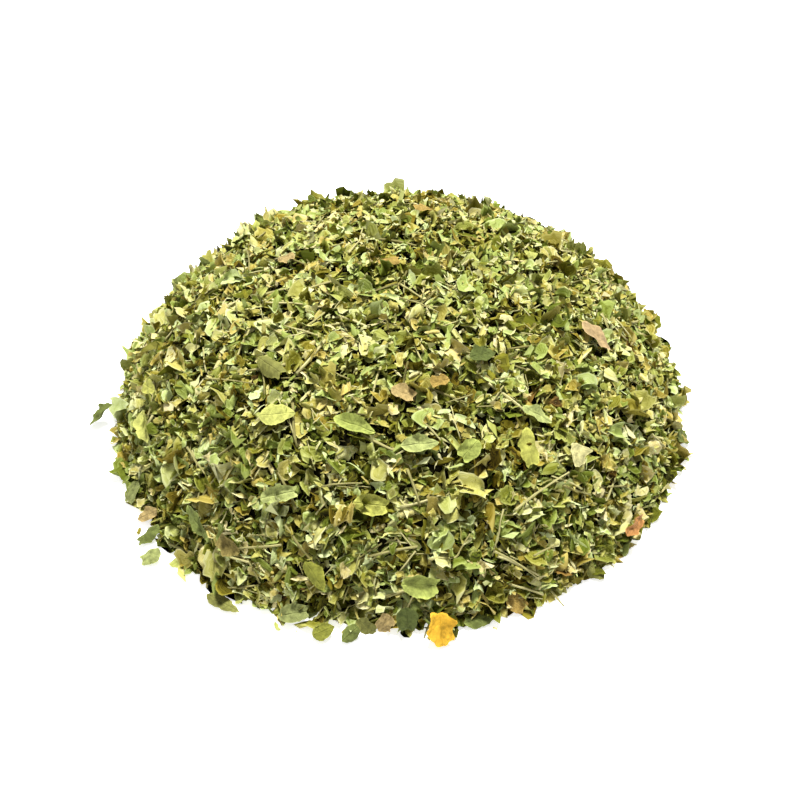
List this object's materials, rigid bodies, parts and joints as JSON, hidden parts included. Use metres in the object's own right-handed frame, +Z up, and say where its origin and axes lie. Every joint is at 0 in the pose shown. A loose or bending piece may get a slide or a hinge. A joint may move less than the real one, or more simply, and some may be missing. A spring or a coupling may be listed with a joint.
{
  "type": "heap of dried leaf flakes",
  "caption": "Low round heap of dried, cut moringa leaf: torn green flakes in a flat-based mound, with whole leaflets, brown and yellow bits and stalks lying loose on it and at its foot.",
  "frame": {"origin": "middle of the heap's flat base, on the surface it lies on", "axes": "+Z up out of the base, -Y towards the side that faces the viewer, +X to the viewer's right"},
  "size_m": [0.2392, 0.2327, 0.0558],
  "materials": {
    "leaf_green": "dull, dry",
    "leaf_dark": "dull, dry",
    "leaf_pale": "dull, dry",
    "leaf_brown": "dull, dry",
    "leaf_yellow": "dull, dry",
    "stalk": "dull, dry"
  },
  "bodies": {
    "root": {"leaf_heap": "leaf_green", "leaflet_pale_left": "leaf_pale", "leaflet_olive_left": "leaf_pale", "leaflet_small_left": "leaf_pale", "leaflet_folded_left": "leaf_green", "leaflet_rolled_front": "leaf_pale", "leaflet_rolled_centre": "leaf_pale", "leaflet_brown_right": "leaf_brown", "leaf_brown_centre": "leaf_brown", "leaf_brown_middle": "leaf_brown", "leaf_tan_upper_left": "leaf_brown", "leaf_tan_crown": "leaf_brown", "leaf_tan_back": "leaf_brown", "leaflet_yellow_green_right": "leaf_pale", "leaf_square_right": "leaf_pale", "leaf_pale_centre": "leaf_pale", "leaflet_green_middle": "leaf_green", "leaflet_green_front": "leaf_green", "leaflet_dark_centre": "leaf_dark", "leaflet_light_low_front": "leaf_pale", "leaflet_curled_low_left": "leaf_green", "leaf_yellow_green_front": "leaf_pale", "leaf_orange_low_right": "leaf_yellow", "leaf_round_back_right": "leaf_pale", "leaf_narrow_low_left": "leaf_green", "leaf_brown_low_left": "leaf_brown", "leaf_curved_low_front": "leaf_green", "leaf_brown_front_foot": "leaf_brown", "leaf_dark_front_foot": "leaf_dark", "leaf_round_front_foot": "leaf_green", "leaf_yellow_front": "leaf_yellow", "leaflet_green_front_foot": "leaf_green", "leaf_brown_right_foot": "leaf_brown", "leaf_dusty_front_foot": "leaf_green", "leaf_olive_low_front_foot": "leaf_green", "leaf_green_low_front_foot": "leaf_green", "leaf_outlying_left": "leaf_green", "leaflet_dark_left_foot": "leaf_dark", "leaf_dark_low_left_foot": "leaf_dark", "leaf_tan_left_foot": "leaf_brown", "leaf_green_left_foot": "leaf_green", "leaf_pale_left_foot": "leaf_pale", "leaf_green_right_foot": "leaf_green", "leaf_green_low_right_foot": "leaf_green", "leaf_brown_far_foot": "leaf_brown", "leaflet_pale_far_foot": "leaf_pale", "stalk_straight_right": "stalk", "stalk_long_front": "stalk", "stalk_bent_front": "stalk", "stalk_upper_left": "stalk", "stalk_kinked_back": "stalk", "stalk_back_left": "stalk", "stalk_crown": "stalk", "stalk_thin_left": "stalk", "stalk_back": "stalk", "stalk_pale_centre": "stalk", "stalk_low_left": "stalk", "stalk_low_right": "stalk"}
  },
  "joints": []
}
